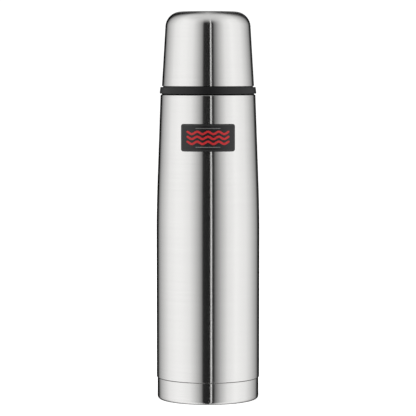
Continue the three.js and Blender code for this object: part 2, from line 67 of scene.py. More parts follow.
BODY_RADIUS = high("outer_shell").x
SEAM_Z = low("outer_shell").z
NECK_TOP = high("outer_shell").z
BASE_RADIUS = high("outer_base").x
BASE_TOP = high("outer_base").z
BEND_Z = 153.0
BEND_RADIUS = 1260.0
TAPER = 0.036
SHOULDER_Z = low("cup_gasket").z - FACE_GAP
SHOULDER_FILLET = 0.8
NECK_FILLET = 2.0
NECK_RADIUS = 24.5
NECK_GROOVE_RISE = 7.1
NECK_GROOVE_Z = SHOULDER_Z + NECK_GROOVE_RISE
NECK_GROOVE_HALF = 1.5
NECK_GROOVE_DEPTH = 0.5
LIP_ROUND = 0.22  # rolled lower edge of the shell
SEAM_GROOVE_DEPTH = 0.5  # groove in the base under that edge
SEAM_GROOVE_HEIGHT = 0.7
BASE_LEAN = 0.05  # the base narrows by this much on its way down
BASE_FILLET = 2.5
FOOT_WIDTH = 1.5
PANEL_RISE = 1.8
PANEL_SLOPE = 1.6
DIMPLE_RADIUS = 8.0
DIMPLE_RISE = 1.6
VENT_RADIUS = 1.6
PRESSED_ROUND = 1.2  # rounding of the shapes pressed into the base

MOUTH_Z = high("inner_bottle").z
MOUTH_RADIUS = 21.6
THROAT_STEP = 3.0
THROAT_RADIUS = MOUTH_RADIUS - THROAT_STEP
SEAT_DEPTH = 21.6
SEAT_TOP = MOUTH_Z - SEAT_DEPTH
SEAT_BOTTOM = SEAT_TOP - THROAT_STEP
INNER_SHOULDER_DROP = 6.5  # below the seat
INNER_SHOULDER_Z = SEAT_BOTTOM - INNER_SHOULDER_DROP
INNER_SHOULDER_FILLET = 7.0
VACUUM_GAP = 2.3

DOME_RISE = 2.8  # raised middle of the inner bottom
DOME_RADIUS = 22.0
DOME_FOOT = 28.0
DOME_ROUND = 4.0
INNER_CORNER_FILLET = 7.0

THREAD_LEAD = 12.0
RIDGE_HEIGHT = 1.2
RIDGE_ROOT_HALF = 1.3
RIDGE_CREST_HALF = 0.6
RIDGE_STEP = 0.25  # height between the rows of a threaded wall
FLANK_OFFSET = 2.2  # bearing ridge below the one that holds it
THREADED_GAP = 1.7  # between the walls of an engaged pair
CUP_THREAD_RISE = 4.2
NECK_THREAD_DROP = 12.5
NECK_RIDGE_TURN = math.pi * 1.4
PLUG_RIDGE_TURN = math.pi * 1.2
COLLAR_RIDGE_TURN = math.pi * 1.375
RING_RIDGE_TURN = math.pi * 1.25

CUP_Z = low("cup_rim_ring").z
CUP_TOP = high("cup_shell").z
CUP_SHELL_Z = low("cup_shell").z
CUP_RIM_RADIUS = high("cup_shell").x
CUP_LEAN = 0.06
CUP_FILLET = 12.4
LINER_INSET = 1.95
LINER_WALL = 1.5
BAND_RADIUS = high("cup_rim_ring").x
BAND_GROOVE_HEIGHT = 0.8
BAND_TOP = CUP_SHELL_Z - FACE_GAP - BAND_GROOVE_HEIGHT
BAND_GROOVE_DEPTH = 0.9
BAND_LEAN = 0.65
CUP_GASKET_WIDTH = 3.8
COLLAR_Z = low("neck_collar").z
COLLAR_TOP = high("neck_collar").z
COLLAR_WALL = 1.6
COLLAR_BORE = NECK_RADIUS + RUNNING_GAP
COLLAR_FLANGE = 0.7
FLANGE_RADIUS = high("neck_collar").x
SLEEVE_RADIUS = FLANGE_RADIUS + RUNNING_GAP
SLEEVE_WALL = 1.3
SLEEVE_HEIGHT = 12.0
COLLAR_RADIUS = SLEEVE_RADIUS - THREADED_GAP

STOPPER_RADIUS = high("stopper_plug").x
GRIP_Z = low("stopper_grip").z
GRIP_TOP = high("stopper_grip").z
GRIP_WALL = 1.8
GRIP_LEAN = 0.05
GRIP_FILLET = 3.4
GRIP_DISH = 0.7  # depth of the dished top
GRIP_DISH_RADIUS = 16.4
SCALLOP_RADIUS = 3.0
SCALLOP_DEPTH = 0.95
FLANGE_WALL = 1.6
FLANGE_Z = MOUTH_Z + 0.3  # just clear of the mouth's lip
FLANGE_TOP = FLANGE_Z + FLANGE_WALL
SPIGOT_HEIGHT = 3.0
SPIGOT_WALL = 1.6
PLUG_END = low("stopper_plug").z
PLUG_RADIUS = MOUTH_RADIUS - THREADED_GAP
PLUG_WALL = 2.4
POUR_WIDTH = 10.0
POUR_DEPTH = 1.2
SCALLOPS = 12
SEAL_RADIUS = high("stopper_seal").x
SEAL_WIDTH = 2.8
SEAL_END = low("stopper_seal").z
STOPPER_END = low("stopper_base").z
PLUG_BASE_WALL = 1.6
BASE_DISH = 0.5  # depth of the dished underside
BASE_DISH_RADIUS = 13.0

BADGE_WIDTH = 2 * high("badge_plate").x
BADGE_HEIGHT = high("badge_plate").z - low("badge_plate").z
BADGE_Z = (high("badge_plate").z + low("badge_plate").z) / 2
BADGE_CORNER = 1.8
BADGE_BACK = 0.45  # heights above the shell of the badge's back and face
BADGE_FACE = 1.05
PRINT_BACK = BADGE_FACE - 0.1
PRINT_FACE = BADGE_FACE + 0.06
FRAME_MARGIN = 0.9
FRAME_WIDTH = 0.3
WAVES = 3
WAVE_CRESTS = 4
WAVE_LENGTH = 34.0
WAVE_PITCH = 3.9
WAVE_SWING = 0.95
WAVE_HALF_WIDTH = 0.85
RULE_LENGTH = 20.0
RULE_RISE = 7.4  # from the badge's middle
RULE_HALF_WIDTH = 0.22


def taper_radius(z):
    return BODY_RADIUS - TAPER * (z - BEND_Z)


# ---- Outlines, as points (radius, height) ----


def line(*corners, step=math.radians(9)):
    """A line through corners (radius, height, fillet), with the inner corners rounded."""
    points = [np.array(c[:2], float) for c in corners]
    made = []
    for i, corner in enumerate(corners):
        fillet = corner[2] if len(corner) > 2 else 0
        if not fillet:
            made.append(points[i])
            continue
        back = points[i - 1] - points[i]
        ahead = points[i + 1] - points[i]
        back /= np.linalg.norm(back)
        ahead /= np.linalg.norm(ahead)
        half = math.acos(float(np.clip(back @ ahead, -1, 1))) / 2
        middle = (back + ahead) / np.linalg.norm(back + ahead)
        centre = points[i] + middle * fillet / math.sin(half)
        first = points[i] + back * fillet / math.tan(half) - centre
        side = math.copysign(1, back[0] * ahead[1] - back[1] * ahead[0])
        turn = -side * (math.pi - 2 * half)
        steps = max(6, math.ceil(abs(turn) / step))
        for k in range(steps + 1):
            a = turn * k / steps
            c, s = math.cos(a), math.sin(a)
            made.append(centre + np.array((first[0] * c - first[1] * s, first[0] * s + first[1] * c)))
    return made


def inset(points, distance):
    """The line moved to its left, which is inwards on a line that runs up a wall."""
    normals = []
    for a, b in zip(points, points[1:]):
        d = (b - a) / np.linalg.norm(b - a)
        normals.append(np.array((-d[1], d[0])))
    made = []
    for i, p in enumerate(points):
        n0 = normals[max(i - 1, 0)]
        n1 = normals[min(i, len(normals) - 1)]
        made.append(p + (n0 + n1) / (1 + n0 @ n1) * distance)
    return made


def sheet(points, wall):
    """The closed outline of a sheet whose outer face is the line."""
    return [*points, *inset(points, wall)[::-1]]


def rows(radius, start, end, step=RIDGE_STEP):
    """Evenly spaced points along an upright wall, for a relief to shape."""
    count = max(1, round(abs(end - start) / step))
    return [(radius, start + (end - start) * k / count) for k in range(count + 1)]


def smooth(x):
    x = min(max(x, 0.0), 1.0)
    return x * x * (3 - 2 * x)


# ---- Meshes ----


def finish_piece(name, verts, faces, material, body, node=None, sharp=32):
    mesh = bpy.data.meshes.new(name)
    mesh.from_pydata([tuple(float(c) * MM for c in v) for v in verts], [], faces)
    mesh.validate()
    mesh.update()
    mesh.polygons.foreach_set("use_smooth", [True] * len(mesh.polygons))
    mesh.set_sharp_from_angle(angle=math.radians(sharp))
    mesh.materials.append(material)
    piece = bpy.data.objects.new(name, mesh)
    bpy.context.collection.objects.link(piece)
    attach(piece, body)
    if node:
        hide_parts(node)
    return piece


def turned(name, outline, material, body, node, relief=None, sides=SIDES, sharp=32):
    """A closed outline turned about Z. relief(angle, radius, height) gives a new radius and height."""
    ring = [np.asarray(p, float) for p in outline]
    area = sum(a[0] * b[1] - b[0] * a[1] for a, b in zip(ring, ring[1:] + ring[:1]))
    if area < 0:
        ring.reverse()
    verts, starts = [], []
    for r, z in ring:
        starts.append(len(verts))
        if r < 1e-6:
            verts.append((0, 0, z))
            continue
        for k in range(sides):
            a = 2 * math.pi * k / sides
            rr, zz = relief(a, r, z) if relief else (r, z)
            verts.append((rr * math.cos(a), rr * math.sin(a), zz))
    faces = []
    for i in range(len(ring)):
        j = (i + 1) % len(ring)
        pole_i, pole_j = ring[i][0] < 1e-6, ring[j][0] < 1e-6
        if pole_i and pole_j:
            continue
        for k in range(sides):
            n = (k + 1) % sides
            if pole_i:
                faces.append((starts[i], starts[j] + n, starts[j] + k))
            elif pole_j:
                faces.append((starts[i] + k, starts[i] + n, starts[j]))
            else:
                faces.append((starts[i] + k, starts[i] + n, starts[j] + n, starts[j] + k))
    return finish_piece(name, verts, faces, material, body, node, sharp)


def helix(radius, side, start_z, turn):
    """A relief of two ridges that climb round a wall. side 1 stands outwards and -1 inwards."""

    def relief(angle, r, z):
        if abs(r - radius) > 1e-4:
            return r, z
        raised = 0.0
        for start in (0, math.pi):
            along = (angle - start) % (2 * math.pi)
            over = along - turn
            if over > 0 and 2 * math.pi - along > 0.25:
                continue
            if over > 0:
                along -= 2 * math.pi
            fade = smooth((along + 0.12) / 0.3) * smooth((turn - along + 0.12) / 0.3)
            away = abs(z - start_z - THREAD_LEAD * along / (2 * math.pi))
            flank = smooth((RIDGE_ROOT_HALF - away) / (RIDGE_ROOT_HALF - RIDGE_CREST_HALF))
            raised = max(raised, RIDGE_HEIGHT * flank * fade)
        return r + side * raised, z

    return relief


# ---- Materials ----


def new_material(name):
    material = bpy.data.materials.new(name)
    material.use_nodes = True
    tree = material.node_tree
    return material, tree, tree.nodes["Principled BSDF"]


def link(tree, a, b):
    tree.links.new(a, b)


def node(tree, kind, **values):
    made = tree.nodes.new(kind)
    for key, value in values.items():
        setattr(made, key, value)
    return made


def math_node(tree, operation, a, b=None, c=None, clamp=False):
    made = node(tree, "ShaderNodeMath", operation=operation, use_clamp=clamp)
    for i, value in enumerate((a, b, c)):
        if value is None:
            continue
        if isinstance(value, (int, float)):
            made.inputs[i].default_value = value
        else:
            link(tree, value, made.inputs[i])
    return made.outputs[0]


def object_xyz(tree):
    coords = node(tree, "ShaderNodeTexCoord")
    split = node(tree, "ShaderNodeSeparateXYZ")
    link(tree, coords.outputs["Object"], split.inputs[0])
    return coords.outputs["Object"], split


def combine(tree, x, y, z):
    made = node(tree, "ShaderNodeCombineXYZ")
    for socket, value in zip(made.inputs, (x, y, z)):
        if isinstance(value, (int, float)):
            socket.default_value = value
        else:
            link(tree, value, socket)
    return made.outputs[0]


def noise(tree, vector, scale, detail=3.0, roughness=0.6):
    made = node(tree, "ShaderNodeTexNoise")
    made.inputs["Scale"].default_value = scale
    made.inputs["Detail"].default_value = detail
    made.inputs["Roughness"].default_value = roughness
    link(tree, vector, made.inputs["Vector"])
    return made.outputs["Fac"]


def remap(tree, value, low_in, high_in, low_out, high_out):
    made = node(tree, "ShaderNodeMapRange")
    for socket, number in zip(made.inputs[1:5], (low_in, high_in, low_out, high_out)):
        socket.default_value = number
    link(tree, value, made.inputs[0])
    return made.outputs[0]


def mix_colour(tree, fac, a, b):
    made = node(tree, "ShaderNodeMix", data_type="RGBA")
    link(tree, fac, made.inputs["Factor"])
    made.inputs["A"].default_value = (*a, 1)
    made.inputs["B"].default_value = (*b, 1)
    return made.outputs["Result"]


def bump(tree, height, strength, distance):
    made = node(tree, "ShaderNodeBump")
    made.inputs["Strength"].default_value = strength
    made.inputs["Distance"].default_value = distance
    link(tree, height, made.inputs["Height"])
    return made.outputs["Normal"]


def brushed_steel(name, light, dark, rough, anisotropy, lines, depth):
    """Steel brushed round its axis: fine lines that follow circles, on walls and on flats."""
    material, tree, shader = new_material(name)
    position, xyz = object_xyz(tree)
    x2 = math_node(tree, "MULTIPLY", xyz.outputs[0], xyz.outputs[0])
    radius = math_node(tree, "SQRT", math_node(tree, "MULTIPLY_ADD", xyz.outputs[1], xyz.outputs[1], x2))
    drift = math_node(tree, "ADD", xyz.outputs[0], xyz.outputs[1])
    across_r = math_node(tree, "MULTIPLY", radius, lines)
    across_z = math_node(tree, "MULTIPLY", xyz.outputs[2], lines)
    along = math_node(tree, "MULTIPLY", drift, lines * 0.012)
    streaks = noise(tree, combine(tree, across_r, across_z, along), 1.0, 4.0, 0.65)
    broad = noise(tree, combine(tree, across_r, across_z, along), 0.12, 2.0, 0.5)
    clouds = noise(tree, position, 30.0, 2.0, 0.5)
    tone = math_node(tree, "MULTIPLY_ADD", broad, 0.35, math_node(tree, "MULTIPLY", streaks, 0.65))
    link(tree, mix_colour(tree, remap(tree, tone, 0.3, 0.7, 0, 1), dark, light), shader.inputs["Base Color"])
    shader.inputs["Metallic"].default_value = 1
    worn = math_node(tree, "MULTIPLY_ADD", clouds, 0.3, math_node(tree, "MULTIPLY", streaks, 0.7))
    link(tree, remap(tree, worn, 0.3, 0.7, rough - 0.025, rough + 0.025), shader.inputs["Roughness"])
    shader.inputs["Anisotropic"].default_value = anisotropy
    shader.inputs["Anisotropic Rotation"].default_value = 0.25
    tangent = node(tree, "ShaderNodeTangent", direction_type="RADIAL", axis="Z")
    link(tree, tangent.outputs[0], shader.inputs["Tangent"])
    link(tree, bump(tree, streaks, depth, 0.00002), shader.inputs["Normal"])
    return material


def moulded(name, light, dark, rough, grain, depth, specular=0.5):
    """Moulded plastic or rubber: a fine grain, and faint clouds in colour and gloss."""
    material, tree, shader = new_material(name)
    position, _ = object_xyz(tree)
    fine = noise(tree, position, grain, 3.0, 0.6)
    clouds = noise(tree, position, 60.0, 3.0, 0.5)
    colour = mix_colour(tree, remap(tree, clouds, 0.3, 0.7, 0, 1), dark, light)
    link(tree, colour, shader.inputs["Base Color"])
    mixed = math_node(tree, "MULTIPLY_ADD", clouds, 0.5, math_node(tree, "MULTIPLY", fine, 0.5))
    link(tree, remap(tree, mixed, 0.3, 0.7, rough - 0.05, rough + 0.05), shader.inputs["Roughness"])
    shader.inputs["Specular IOR Level"].default_value = specular
    link(tree, bump(tree, fine, depth, 0.00003), shader.inputs["Normal"])
    return material


def foil_material():
    """Thin bright foil with soft creases."""
    material, tree, shader = new_material("foil")
    position, _ = object_xyz(tree)
    creases = node(tree, "ShaderNodeTexVoronoi", feature="DISTANCE_TO_EDGE")
    creases.inputs["Scale"].default_value = 90
    link(tree, position, creases.inputs["Vector"])
    clouds = noise(tree, position, 120.0)
    link(tree, mix_colour(tree, clouds, (0.72, 0.72, 0.73), (0.86, 0.86, 0.87)), shader.inputs["Base Color"])
    shader.inputs["Metallic"].default_value = 1
    link(tree, remap(tree, clouds, 0.3, 0.7, 0.12, 0.24), shader.inputs["Roughness"])
    link(tree, bump(tree, creases.outputs["Distance"], 0.5, 0.0004), shader.inputs["Normal"])
    return material


def silicone_material():
    """Milky silicone that lets a little light through."""
    material = moulded("clear_silicone", (0.83, 0.84, 0.82), (0.74, 0.75, 0.73), 0.42, 2500, 0.1)
    shader = material.node_tree.nodes["Principled BSDF"]
    shader.inputs["Subsurface Weight"].default_value = 0.4
    shader.inputs["Subsurface Radius"].default_value = (0.002, 0.002, 0.002)
    return material


STEEL_OUTSIDE = brushed_steel(
    "brushed_steel", (0.815, 0.81, 0.80), (0.765, 0.76, 0.75), 0.15, 0.97, 5200, 0.10
)
STEEL_INSIDE = brushed_steel("satin_steel", (0.72, 0.72, 0.715), (0.62, 0.62, 0.615), 0.34, 0.5, 2600, 0.25)
BLACK = moulded("black_plastic", (0.007, 0.007, 0.0075), (0.004, 0.004, 0.0045), 0.34, 3800, 0.12, 0.36)
BADGE_BLACK = moulded("badge_plastic", (0.010, 0.010, 0.0105), (0.006, 0.006, 0.0065), 0.32, 5000, 0.05)
RED_PRINT = moulded("red_print", (0.47, 0.008, 0.012), (0.39, 0.005, 0.009), 0.4, 5000, 0.05)
GREY_PRINT = moulded("grey_print", (0.20, 0.20, 0.20), (0.14, 0.14, 0.14), 0.4, 5000, 0.05)
FRAME_PRINT = moulded("frame_print", (0.035, 0.035, 0.035), (0.025, 0.025, 0.025), 0.4, 5000, 0.05)
RUBBER = moulded("dark_rubber", (0.008, 0.008, 0.008), (0.004, 0.004, 0.004), 0.66, 2600, 0.3, 0.25)
SILICONE = silicone_material()
FOAM = moulded("foam", (0.88, 0.87, 0.83), (0.72, 0.71, 0.67), 0.9, 700, 0.8)
ADHESIVE = moulded("adhesive", (0.80, 0.78, 0.70), (0.68, 0.66, 0.58), 0.6, 1500, 0.2)
GETTER = moulded("getter_alloy", (0.20, 0.19, 0.18), (0.11, 0.105, 0.10), 0.8, 1800, 0.7)
GLASS_SEAL = moulded("sealing_glass", (0.045, 0.06, 0.055), (0.025, 0.035, 0.03), 0.15, 900, 0.1)
FOIL = foil_material()


# ---- Flask ----


def outer_shell():
    outer = line(
        (BODY_RADIUS - STEEL + 0.02, SEAM_Z),
        (BODY_RADIUS, SEAM_Z, LIP_ROUND),
        (BODY_RADIUS, BEND_Z, BEND_RADIUS),
        (taper_radius(SHOULDER_Z), SHOULDER_Z, SHOULDER_FILLET),
        (NECK_RADIUS, SHOULDER_Z, NECK_FILLET),
        *neck_groove(NECK_RADIUS, 0, 0.4),
        (NECK_RADIUS, NECK_TOP),
    )
    inner = line(
        (BODY_RADIUS - STEEL, SEAM_Z + LIP_ROUND),
        (BODY_RADIUS - STEEL, BEND_Z, BEND_RADIUS),
        (taper_radius(SHOULDER_Z) - STEEL, SHOULDER_Z - STEEL, SHOULDER_FILLET - STEEL),
        (NECK_RADIUS - STEEL, SHOULDER_Z - STEEL, NECK_FILLET + STEEL),
        *neck_groove(NECK_RADIUS - STEEL, STEEL, 0),
        (NECK_RADIUS - STEEL, NECK_TOP),
    )
    turned("outer_shell_fine", [*outer, *inner[::-1]], STEEL_OUTSIDE, "flask", "outer_shell")


def neck_groove(radius, spread, fillet):
    """The rolled groove that the collar snaps into, as corners from its lower side to its upper."""
    half = NECK_GROOVE_HALF + spread
    floor = half - NECK_GROOVE_DEPTH
    return [
        (radius, NECK_GROOVE_Z - half, fillet),
        (radius - NECK_GROOVE_DEPTH, NECK_GROOVE_Z - floor, fillet),
        (radius - NECK_GROOVE_DEPTH, NECK_GROOVE_Z + floor, fillet),
        (radius, NECK_GROOVE_Z + half, fillet),
    ]


def outer_base():
    """Drawn base with its foot, its recessed panel and vent, and a groove where it meets the shell."""
    foot = BASE_RADIUS - BASE_LEAN
    foot_inside = foot - BASE_FILLET - FOOT_WIDTH
    groove = BASE_RADIUS - SEAM_GROOVE_DEPTH
    dimple = PANEL_RISE + DIMPLE_RISE
    spread = 0.2  # of the inner face's corners, from those of the outer face
    outer = line(
        (VENT_RADIUS, dimple),
        (DIMPLE_RADIUS - DIMPLE_RISE, dimple, PRESSED_ROUND),
        (DIMPLE_RADIUS, PANEL_RISE, PRESSED_ROUND),
        (foot_inside - PANEL_SLOPE, PANEL_RISE, PRESSED_ROUND),
        (foot_inside, 0, PRESSED_ROUND / 2),
        (foot, 0, BASE_FILLET),
        (BASE_RADIUS, SEAM_Z - SEAM_GROOVE_HEIGHT, 0.4),
        (groove, SEAM_Z - 0.2, 0.15),
        (groove, SEAM_Z + SEAM_GROOVE_HEIGHT),
        (BASE_RADIUS, SEAM_Z + 2 * SEAM_GROOVE_HEIGHT),
        (BASE_RADIUS, BASE_TOP),
    )
    inner = line(
        (VENT_RADIUS, dimple + STEEL),
        (DIMPLE_RADIUS - DIMPLE_RISE + spread, dimple + STEEL, PRESSED_ROUND),
        (DIMPLE_RADIUS + spread, PANEL_RISE + STEEL, PRESSED_ROUND),
        (foot_inside - PANEL_SLOPE + spread, PANEL_RISE + STEEL, PRESSED_ROUND),
        (foot_inside + spread, STEEL, PRESSED_ROUND / 3),
        (foot - STEEL, STEEL, BASE_FILLET - STEEL),
        (BASE_RADIUS - STEEL, SEAM_Z - 2 * SEAM_GROOVE_HEIGHT),
        (groove - STEEL, SEAM_Z - SEAM_GROOVE_HEIGHT),
        (groove - STEEL, SEAM_Z + 1.4 * SEAM_GROOVE_HEIGHT),
        (BASE_RADIUS - STEEL, SEAM_Z + 2.4 * SEAM_GROOVE_HEIGHT),
        (BASE_RADIUS - STEEL, BASE_TOP),
    )
    turned("outer_base_fine", [*outer, *inner[::-1]], STEEL_OUTSIDE, "flask", "outer_base")


def base_disc():
    """Cover disc with a raised centre and two stamped rings."""
    bottom, top = low("base_disc").z, high("base_disc").z
    radius = high("base_disc").x
    rise = 0.12
    stamped = []
    for ring_radius in (9.0, 22.0):
        stamped += [(ring_radius, bottom + rise, 1.0), (ring_radius + 0.6, bottom, 1.0)]
        stamped += [(ring_radius + 3.0, bottom, 1.0), (ring_radius + 3.6, bottom + rise, 1.0)]
    outline = line(
        (0, bottom + rise),
        *stamped,
        (radius - 2.2, bottom + rise, 1.0),
        (radius - 1.6, bottom, 1.0),
        (radius - 0.2, bottom, 0.15),
        (radius, bottom + 0.2),
        (radius, top),
        (0, top),
    )
    turned("base_disc_fine", outline, STEEL_INSIDE, "flask", "base_disc")


def inner_bottle():
    bottom = low("inner_bottle").z
    radius = BODY_RADIUS - STEEL - VACUUM_GAP
    top_radius = taper_radius(INNER_SHOULDER_Z) - STEEL - VACUUM_GAP
    outer = line(
        (radius, bottom),
        (radius, BEND_Z, BEND_RADIUS),
        (top_radius, INNER_SHOULDER_Z, INNER_SHOULDER_FILLET),
        (THROAT_RADIUS + INNER_STEEL, SEAT_BOTTOM - 2, 1.0),
        (THROAT_RADIUS + INNER_STEEL, SEAT_BOTTOM, 1.0),
        (MOUTH_RADIUS + INNER_STEEL, SEAT_TOP, 1.0),
        (MOUTH_RADIUS + INNER_STEEL, MOUTH_Z - INNER_STEEL),
        (NECK_RADIUS, MOUTH_Z - INNER_STEEL),
    )
    neck_low, neck_high = SEAT_TOP + 2, MOUTH_Z - 1.5
    inner = line(
        (radius - INNER_STEEL, bottom),
        (radius - INNER_STEEL, BEND_Z, BEND_RADIUS),
        (top_radius - INNER_STEEL, INNER_SHOULDER_Z, INNER_SHOULDER_FILLET),
        (THROAT_RADIUS, SEAT_BOTTOM - 2, 1.0),
        (THROAT_RADIUS, SEAT_BOTTOM, 0.8),
        (MOUTH_RADIUS, SEAT_TOP, 0.8),
        *rows(MOUTH_RADIUS, neck_low, neck_high),
        (MOUTH_RADIUS, MOUTH_Z, 0.6),
        (NECK_RADIUS, MOUTH_Z, 0.18),
        (NECK_RADIUS, MOUTH_Z - INNER_STEEL),
    )
    thread = helix(MOUTH_RADIUS, -1, MOUTH_Z - NECK_THREAD_DROP, NECK_RIDGE_TURN)
    outline = [*outer[:-1], *inner[::-1]]
    turned("inner_bottle_fine", outline, STEEL_INSIDE, "flask", "inner_bottle", thread)


def inner_bottom():
    bottom, top = low("inner_bottom").z, high("inner_bottom").z
    radius = high("inner_bottom").x
    outer = line(
        (0, bottom + DOME_RISE),
        (DOME_RADIUS, bottom + DOME_RISE, DOME_ROUND),
        (DOME_FOOT, bottom, DOME_ROUND),
        (radius, bottom, INNER_CORNER_FILLET),
        (radius, top),
    )
    outline = sheet(outer, INNER_STEEL)
    turned("inner_bottom_fine", outline, STEEL_INSIDE, "flask", "inner_bottom")


def gasket(node_name, bore, edge, body):
    """A flat rubber ring with rounded edges."""
    bottom, top = low(node_name).z, high(node_name).z
    radius = high(node_name).x
    middle = (bore + radius) / 2
    outline = line(
        (middle, bottom),
        (radius, bottom, edge),
        (radius, top, edge),
        (bore, top, edge),
        (bore, bottom, edge),
        (middle, bottom),
    )
    turned(node_name + "_fine", outline[:-1], RUBBER, body, node_name)


def neck_collar():
    top = COLLAR_TOP
    skirt_bore = COLLAR_RADIUS - COLLAR_WALL
    sleeve = COLLAR_BORE + COLLAR_WALL
    flange_top = COLLAR_Z + COLLAR_FLANGE
    outline = line(
        (skirt_bore, COLLAR_Z),
        (FLANGE_RADIUS, COLLAR_Z, 0.2),
        (FLANGE_RADIUS, flange_top, 0.2),
        (COLLAR_RADIUS, flange_top, 0.35),
        *rows(COLLAR_RADIUS, flange_top + 0.8, top - 1.6),
        (COLLAR_RADIUS, top, 1.0),
        (COLLAR_BORE, top, 0.3),
        (COLLAR_BORE, NECK_GROOVE_Z + NECK_GROOVE_DEPTH),
        (COLLAR_BORE - 0.45, NECK_GROOVE_Z, 0.25),
        (COLLAR_BORE, NECK_GROOVE_Z - NECK_GROOVE_DEPTH),
        (COLLAR_BORE, COLLAR_Z + 2),
        (sleeve, COLLAR_Z + 2),
        (sleeve, top - COLLAR_WALL),
        (skirt_bore, top - COLLAR_WALL),
    )
    thread = helix(COLLAR_RADIUS, 1, CUP_Z + CUP_THREAD_RISE, COLLAR_RIDGE_TURN)
    turned("neck_collar_fine", outline, BLACK, "flask", "neck_collar", thread)


# ---- Badge ----


def on_shell(x, z, height):
    """A point at a height over the flask's tapered front, at distance x to the right of its middle."""
    radius = taper_radius(z) + height
    return (x, -math.sqrt(radius * radius - x * x), z)


def rounded_outline(width, height, corner, steps=8, columns=48):
    """A rounded rectangle: its upper half from right to left, then its lower half back."""
    w, h = width / 2 - corner, height / 2 - corner
    quarter = [math.pi / 2 * k / steps for k in range(steps + 1)]
    upper = [(w + corner * math.cos(a), h + corner * math.sin(a)) for a in quarter]
    upper += [(w - 2 * w * k / columns, h + corner) for k in range(1, columns)]
    upper += [(-w - corner * math.sin(a), h + corner * math.cos(a)) for a in quarter]
    return upper + [(x, -z) for x, z in reversed(upper)]


def slab(name, loops, material, node_name=None):
    """A closed slab through loops of points (x, z, height) of equal length, capped at both ends."""
    count = len(loops[0])
    verts = [on_shell(x, BADGE_Z + z, height) for loop in loops for x, z, height in loop]
    faces = []
    for i in range(len(loops) - 1):
        for k in range(count):
            n = (k + 1) % count
            a, b = i * count, (i + 1) * count
            faces.append((a + k, a + n, b + n, b + k))
    last = (len(loops) - 1) * count
    half = count // 2
    for k in range(half - 1):
        quad = (last + k, last + k + 1, last + count - 2 - k, last + count - 1 - k)
        faces.append(quad if len(set(quad)) == 4 else tuple(dict.fromkeys(quad)))
        low_quad = (k, count - 1 - k, count - 2 - k, k + 1)
        faces.append(low_quad if len(set(low_quad)) == 4 else tuple(dict.fromkeys(low_quad)))
    return finish_piece(name, verts, faces, material, "flask", node_name, 40)


def lifted(outline, height):
    return [(x, z, height) for x, z in outline]


def strip(name, route, length, half_width, material):
    """A flat raised ribbon with round ends, along a route of points (x, z) on the badge's face."""
    reach = half_width / length
    route = [np.array(p, float) for p in route]
    verts, faces = [], []
    for i, p in enumerate(route):
        d = route[min(i + 1, len(route) - 1)] - route[max(i - 1, 0)]
        width = half_width * rounded_end(i / (len(route) - 1), reach)
        n = np.array((-d[1], d[0])) / np.linalg.norm(d) * width
        for q, h in ((p + n, PRINT_BACK), (p + n, PRINT_FACE), (p - n, PRINT_FACE), (p - n, PRINT_BACK)):
            verts.append(on_shell(q[0], BADGE_Z + q[1], h))
    for i in range(len(route) - 1):
        s, t = 4 * i, 4 * (i + 1)
        for k in range(4):
            n = (k + 1) % 4
            faces.append((s + k, s + n, t + n, t + k))
    end = 4 * (len(route) - 1)
    faces += [(3, 2, 1, 0), (end, end + 1, end + 2, end + 3)]
    return finish_piece(name, verts, faces, material, "flask", None, 40)


def frame_line():
    """The thin light border that runs round just inside the badge's edge."""
    outer, inner = (
        rounded_outline(BADGE_WIDTH - 2 * margin, BADGE_HEIGHT - 2 * margin, BADGE_CORNER - margin)
        for margin in (FRAME_MARGIN, FRAME_MARGIN + FRAME_WIDTH)
    )
    count = len(inner)
    loops = [lifted(loop, height) for loop, height in
             ((outer, PRINT_BACK), (outer, PRINT_FACE), (inner, PRINT_FACE), (inner, PRINT_BACK))]
    verts = [on_shell(x, BADGE_Z + z, h) for loop in loops for x, z, h in loop]
    faces = []
    for i in range(4):
        a, b = i * count, ((i + 1) % 4) * count
        for k in range(count):
            n = (k + 1) % count
            faces.append((a + k, a + n, b + n, b + k))
    finish_piece("badge_frame", verts, faces, FRAME_PRINT, "flask", None, 40)


def wave_motif():
    """Three equal red waves over one another, between two short grey rules."""
    for i in range(WAVES):
        middle = (1 - i) * WAVE_PITCH
        route = []
        for k in range(121):
            t = k / 120
            rise = WAVE_SWING * math.cos(2 * math.pi * WAVE_CRESTS * t)
            route.append(((t - 0.5) * WAVE_LENGTH, middle + rise))
        strip(f"badge_wave_{i}", route, WAVE_LENGTH, WAVE_HALF_WIDTH, RED_PRINT)
    for name, z in (("upper", RULE_RISE), ("lower", -RULE_RISE)):
        route = [((t / 40 - 0.5) * RULE_LENGTH, z) for t in range(41)]
        strip(f"badge_rule_{name}", route, RULE_LENGTH, RULE_HALF_WIDTH, GREY_PRINT)


def rounded_end(t, reach):
    """The share of its full width that a strip has at t, with a round end."""
    inside = min(t, 1 - t) / reach
    return math.sqrt(max(0.02, 1 - (1 - inside) ** 2)) if inside < 1 else 1.0


def badge():
    edge = rounded_outline(BADGE_WIDTH, BADGE_HEIGHT, BADGE_CORNER)
    bevel = 0.1
    inner = rounded_outline(BADGE_WIDTH - 2 * bevel, BADGE_HEIGHT - 2 * bevel, BADGE_CORNER - bevel)
    loops = [lifted(edge, BADGE_BACK), lifted(edge, BADGE_FACE - bevel), lifted(inner, BADGE_FACE)]
    slab("badge_plate_fine", loops, BADGE_BLACK, "badge_plate")
    glue = rounded_outline(BADGE_WIDTH - 0.2, BADGE_HEIGHT - 0.2, BADGE_CORNER)
    loops = [lifted(glue, FACE_GAP), lifted(glue, BADGE_BACK - FACE_GAP)]
    slab("badge_adhesive_fine", loops, ADHESIVE, "badge_adhesive")
    frame_line()
    wave_motif()


# ---- Stopper ----


